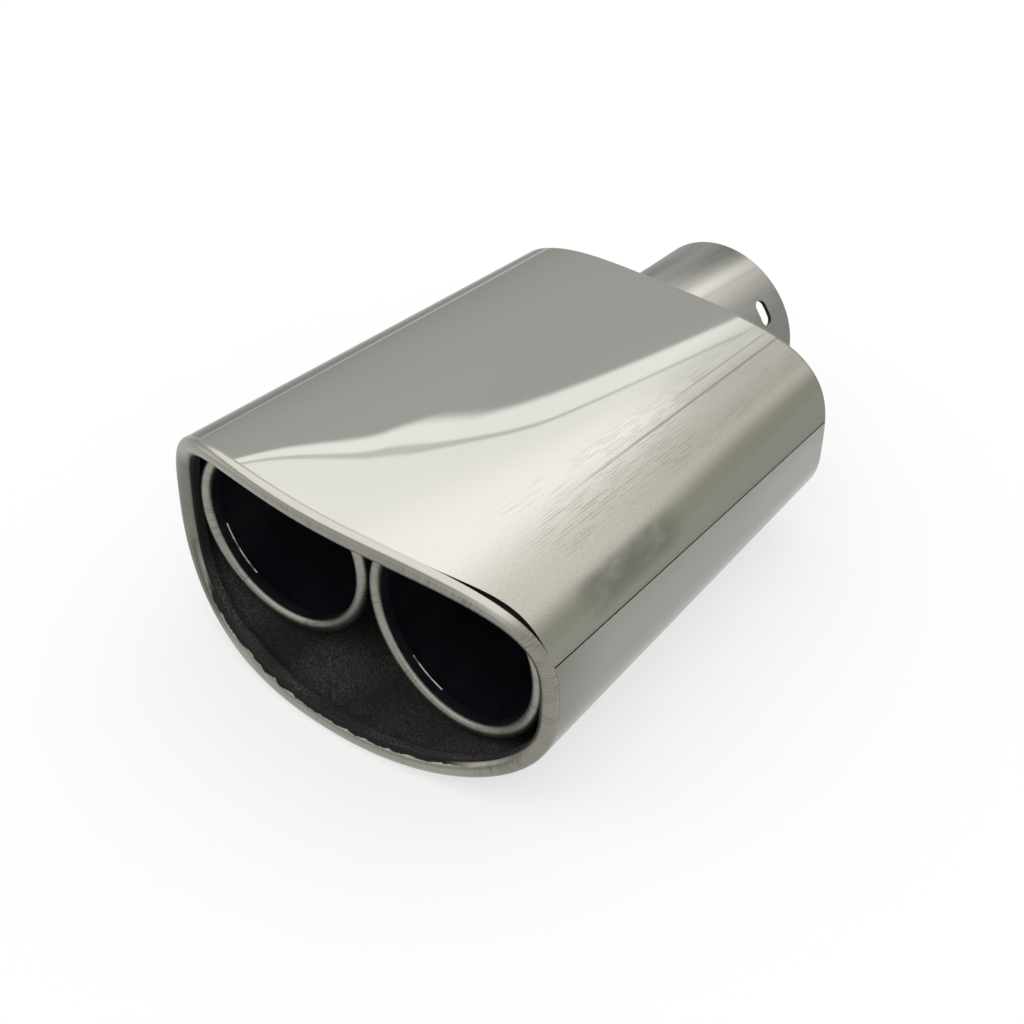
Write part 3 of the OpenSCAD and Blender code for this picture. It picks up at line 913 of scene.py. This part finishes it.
def neck_tree():
    """A wall section with rounded corners, swept round the neck's axis, less the bolt slot."""
    tree, given, keys, add = geometry_tree("slotted_neck", {
        "Outside Radius": "Float", "Wall": "Float", "Length": "Float", "Corner Radius": "Float",
        "Slot Length": "Float", "Slot Width": "Float", "Slot Place": "Vector", "Slot Turn": "Vector",
        "Round Steps": "Int", "Material": "Material"})

    def product(socket, factor):
        return add("ShaderNodeMath", {0: socket, 1: factor}, operation="MULTIPLY")[0]

    def rounded(width, height, radius, count):
        """A rectangle whose corners are rounded in count steps."""
        box = add("GeometryNodeCurvePrimitiveQuadrilateral", {"Width": width, "Height": height})
        return add("GeometryNodeFilletCurve", {"Curve": box[0], "Radius": radius, "Count": count},
                   mode="POLY")[0]

    def swept(path, profile, place, turn, **values):
        """A profile swept along a path, then turned and moved."""
        solid = add("GeometryNodeCurveToMesh", {"Curve": path, "Profile Curve": profile, **values})
        moved = {"Geometry": solid[0], "Translation": place, "Rotation": turn}
        return add("GeometryNodeTransform", moved)[0]

    wall = rounded(given["Wall"], given["Length"], given["Corner Radius"], NECK_ROUND_STEPS)
    middle = add("ShaderNodeMath", {0: given["Outside Radius"], 1: product(given["Wall"], 0.5)},
                 operation="SUBTRACT")
    ring = add("GeometryNodeCurvePrimitiveCircle",
               {"Radius": middle[0], "Resolution": given["Round Steps"]})
    shift = add("ShaderNodeCombineXYZ", {"Y": product(given["Length"], -0.5)})
    tube = swept(ring[0], wall, shift[0], (-math.pi / 2, 0, 0))
    end_radius = product(given["Slot Width"], SLOT_END)
    oval = rounded(given["Slot Length"], given["Slot Width"], end_radius, SLOT_END_STEPS)
    start, end = (add("ShaderNodeCombineXYZ", {"Z": product(given["Outside Radius"], share)})[0]
                  for share in SLOT_BAR)
    path = add("GeometryNodeCurvePrimitiveLine", {"Start": start, "End": end})
    bar = swept(path[0], oval, given["Slot Place"], given["Slot Turn"], **{"Fill Caps": True})
    cut = add("GeometryNodeMeshBoolean", {"Mesh 1": tube, "Mesh 2": bar}, operation="DIFFERENCE")
    end_tree(tree, given, add, cut[0])
    return tree, keys


neck_mesh = grown_mesh("inlet_neck_tube", *neck_tree(), {
    "Outside Radius": NECK_R * MM, "Wall": NECK_T * MM, "Length": (NECK_LEN + NECK_IN) * MM,
    "Corner Radius": NECK_ROUND * MM, "Slot Length": BOLT_SLOT["length"] * MM,
    "Slot Width": BOLT_SLOT["width"] * MM, "Slot Place": (0, -BOLT_SLOT["back"] * MM, 0),
    "Slot Turn": (0, math.radians(90 - BOLT_SLOT["turn"]), 0), "Round Steps": NECK_STEPS,
    "Material": neck_steel()})
neck = finished_piece("inlet_neck_tube", neck_mesh, NECK_CREASE)
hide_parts("inlet_neck")
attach(neck, "root")

# The bead that joins the neck to the rear cap: one pass of weld whose ripples overlap like
# leaning coins. It is straw and blue-grey from the heat.
WELD_RING_R = 31.95
WELD_RIPPLES = 132
WELD_RIPPLE = (1.3, 1.45, 1.4)
RIPPLE_LEAST = 0.9
RIPPLE_SEGMENTS = 10
RIPPLE_RINGS = 6
WELD_SEED = 7
HEAT = dict(scale=(70, 70, 70), detail=3.0, low=0.4, high=0.65)
HEAT_STRAW = (0.50, 0.44, 0.34)
HEAT_BLUE = (0.26, 0.27, 0.30)
WELD_SKIN_SCALE = (900, 900, 900)
WELD_BUMP = 0.0001


def weld_steel():
    """Weld metal coloured by heat in patches, with a fine rough skin."""
    material, tree, shader, place = new_material("weld_steel", 1.0, 0.35, HEAT_STRAW)
    heat = mottled(tree, place, **HEAT)
    feed(tree, shader.inputs["Base Color"], mixed(tree, heat, HEAT_STRAW, HEAT_BLUE))
    add_bump(tree, shader, noise(tree, place, WELD_SKIN_SCALE), WELD_BUMP, 0.6)
    return material


def weld_tree():
    """Overlapping ripples of metal, of slightly unequal size, set round a circle."""
    tree, given, keys, add = geometry_tree("weld_bead", {
        "Ring Radius": "Float", "Ripples": "Int", "Ripple Size": "Vector", "Seed": "Int",
        "Material": "Material"})
    ring = add("GeometryNodeCurvePrimitiveCircle",
               {"Radius": given["Ring Radius"], "Resolution": given["Ripples"]})
    spots = add("GeometryNodeCurveToPoints", {"Curve": ring[0]}, mode="EVALUATED")
    ball = add("GeometryNodeMeshUVSphere",
               {"Segments": RIPPLE_SEGMENTS, "Rings": RIPPLE_RINGS, "Radius": 1.0})
    vary = add("FunctionNodeRandomValue", {2: RIPPLE_LEAST, 3: 1.0, "Seed": given["Seed"]},
               data_type="FLOAT")
    size = add("ShaderNodeVectorMath", {0: given["Ripple Size"], "Scale": vary[1]}, operation="SCALE")
    beads = add("GeometryNodeInstanceOnPoints", {"Points": spots["Points"], "Instance": ball[0],
                                                 "Rotation": spots["Rotation"], "Scale": size[0]})
    smooth = add("GeometryNodeSetShadeSmooth", {"Geometry": beads[0]})
    end_tree(tree, given, add, smooth[0])
    return tree, keys


bead = grown_mesh("neck_weld_bead", *weld_tree(), {
    "Ring Radius": WELD_RING_R * MM, "Ripples": WELD_RIPPLES, "Seed": WELD_SEED,
    "Ripple Size": [size * MM for size in WELD_RIPPLE], "Material": weld_steel()})
bead.transform(Matrix.Translation((0, -NECK_LEN * MM, 0)) @ Matrix.Rotation(math.radians(90), 4, "X"))
weld = bpy.data.objects.new("neck_weld_bead", bead)
bpy.context.scene.collection.objects.link(weld)
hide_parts("neck_weld")
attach(weld, "root")

# The stage: a pale studio floor that the tip stands on, level with its lip and rear edge, one
# large softbox overhead over pale grey surroundings, and the camera where the photo was taken.
PHOTO_SIDE = 1024
FOCAL_PIXELS = 1662.6
CAMERA_AT = (283.2, -485.1, 338.2)
CAMERA_TURN = 38.352
CAMERA_DOWN = 38.111
CAMERA_ROLL = 1.413
SENSOR = 36
FLOOR_Z = -46.1
FLOOR_TILT = 2.05
FLOOR_R = 3000
FLOOR_STEPS = 96
FLOOR_COLOUR = (0.90, 0.91, 0.93)
FLOOR_SEEN = (0.965, 0.965, 0.965)
FLOOR_GLOW = 0.65


def add_camera():
    turn, down, roll = (math.radians(angle) for angle in (CAMERA_TURN, CAMERA_DOWN, CAMERA_ROLL))
    ahead = Vector((-math.sin(turn) * math.cos(down), math.cos(turn) * math.cos(down), -math.sin(down)))
    across = Vector((math.cos(turn), math.sin(turn), 0))
    up = across.cross(ahead)
    right = across * math.cos(roll) + up * math.sin(roll)
    top = up * math.cos(roll) - across * math.sin(roll)
    lens = bpy.data.cameras.new("camera")
    lens.sensor_width = SENSOR
    lens.lens = FOCAL_PIXELS / PHOTO_SIDE * SENSOR
    lens.clip_start = 0.01
    camera = bpy.data.objects.new("camera", lens)
    bpy.context.scene.collection.objects.link(camera)
    turned = Matrix((right, top, -ahead)).transposed().to_4x4()
    camera.matrix_world = Matrix.Translation(Vector(CAMERA_AT) * MM) @ turned
    bpy.context.scene.camera = camera


def floor_paper():
    """White paper, whiter to the camera and in reflections, that still takes the shadow."""
    material, tree, shader, place = new_material("studio_floor", 0.0, 0.9, FLOOR_COLOUR)
    rays = tree.nodes.new("ShaderNodeLightPath").outputs
    seen = math_node(tree, "MAXIMUM", rays["Is Camera Ray"], rays["Is Glossy Ray"])
    seen = math_node(tree, "MAXIMUM", seen, rays["Is Transmission Ray"])
    glow = tree.nodes.new("ShaderNodeEmission")
    feed(tree, glow.inputs["Color"], FLOOR_SEEN)
    both = tree.nodes.new("ShaderNodeMixShader")
    feed(tree, both.inputs[0], times(tree, seen, FLOOR_GLOW))
    feed(tree, both.inputs[1], shader.outputs[0])
    feed(tree, both.inputs[2], glow.outputs[0])
    feed(tree, tree.nodes["Material Output"].inputs["Surface"], both.outputs[0])
    return material


def add_floor():
    mesh = bpy.data.meshes.new("floor")
    work = bmesh.new()
    bmesh.ops.create_circle(work, cap_ends=True, segments=FLOOR_STEPS, radius=FLOOR_R * MM)
    work.to_mesh(mesh)
    work.free()
    tilt = Matrix.Rotation(math.radians(FLOOR_TILT), 4, "X")
    mesh.transform(Matrix.Translation((0, MOUTH_Y * MM, FLOOR_Z * MM)) @ tilt)
    floor = bpy.data.objects.new("floor", mesh)
    bpy.context.scene.collection.objects.link(floor)
    mesh.materials.append(floor_paper())


# Heights are sines of the angle above the horizon, and compass angles are degrees clockwise
# from the direction of the neck. Fades and bands are given as on the shell. Left of SAG_FROM,
# the softbox's edge hangs lower, by a rate times a power of the degrees past it.
SURROUNDINGS = (0.53, 0.535, 0.518)
STRIP = (1.26, 1.25, 1.22)
STRIP_FROM = (0.536, 0.545)
EDGE_LINE = (0.80, 0.80, 0.76)
EDGE_LINE_BAND = (-0.0015, 0.0015, 0.0025)
EDGE_HEIGHT = (-41, -32, 0.558, 0.581)
PANEL_FROM = (-0.002, 0.004)
PANEL_RISE = (0.58, 0.70)
PANEL_EDGE = (1.20, 1.195, 1.15)
PANEL_MIDDLE = (1.42, 1.36, 1.33)
SAG_FROM = -43
SAG_POWER = 1.55
SAG_RATE = 0.00354
SAG_MOST = 0.27
SAG_END = (-165, -130)
RIGHT_SIDE_FROM = (-20, 5)
RIGHT_SIDE_TO = (175, 140)
RIGHT_RISE = (0.15, 0.75)
RIGHT_LOW = (0.90, 0.90, 0.87)
RIGHT_HIGH = (1.38, 1.32, 1.28)


def add_sky():
    """The studio by height and compass angle. Grey surroundings reach up to the softbox's edge,
    with a bright strip and a thin dark line along it. The edge hangs lower on the left, and on
    the right pale surroundings brighten evenly up to the softbox."""
    world = bpy.data.worlds.new("studio")
    bpy.context.scene.world = world
    world.use_nodes = True
    tree = world.node_tree
    x, y, height = parts_of(tree, tree.nodes.new("ShaderNodeTexCoord").outputs["Generated"])
    compass = bearing(tree, x, y)
    past = math_node(tree, "MAXIMUM", math_node(tree, "SUBTRACT", SAG_FROM, compass), 0)
    sag = times(tree, math_node(tree, "POWER", past, SAG_POWER), SAG_RATE)
    sag = times(tree, math_node(tree, "MINIMUM", sag, SAG_MOST), ramp(tree, compass, *SAG_END))
    lifted = math_node(tree, "ADD", height, sag)
    past_edge = math_node(tree, "SUBTRACT", lifted, ramp(tree, compass, *EDGE_HEIGHT))
    panel = mixed(tree, ramp(tree, lifted, *PANEL_RISE), PANEL_EDGE, PANEL_MIDDLE)
    colour = mixed(tree, ramp(tree, lifted, *STRIP_FROM), SURROUNDINGS, STRIP)
    colour = mixed(tree, ramp(tree, past_edge, *PANEL_FROM), colour, panel)
    colour = mixed(tree, band(tree, past_edge, *EDGE_LINE_BAND), colour, EDGE_LINE)
    right = times(tree, ramp(tree, compass, *RIGHT_SIDE_FROM), ramp(tree, compass, *RIGHT_SIDE_TO))
    soft = mixed(tree, ramp(tree, height, *RIGHT_RISE), RIGHT_LOW, RIGHT_HIGH)
    feed(tree, tree.nodes["Background"].inputs["Color"], mixed(tree, right, colour, soft))


add_camera()
add_floor()
add_sky()
bpy.context.scene.view_settings.view_transform = "Standard"
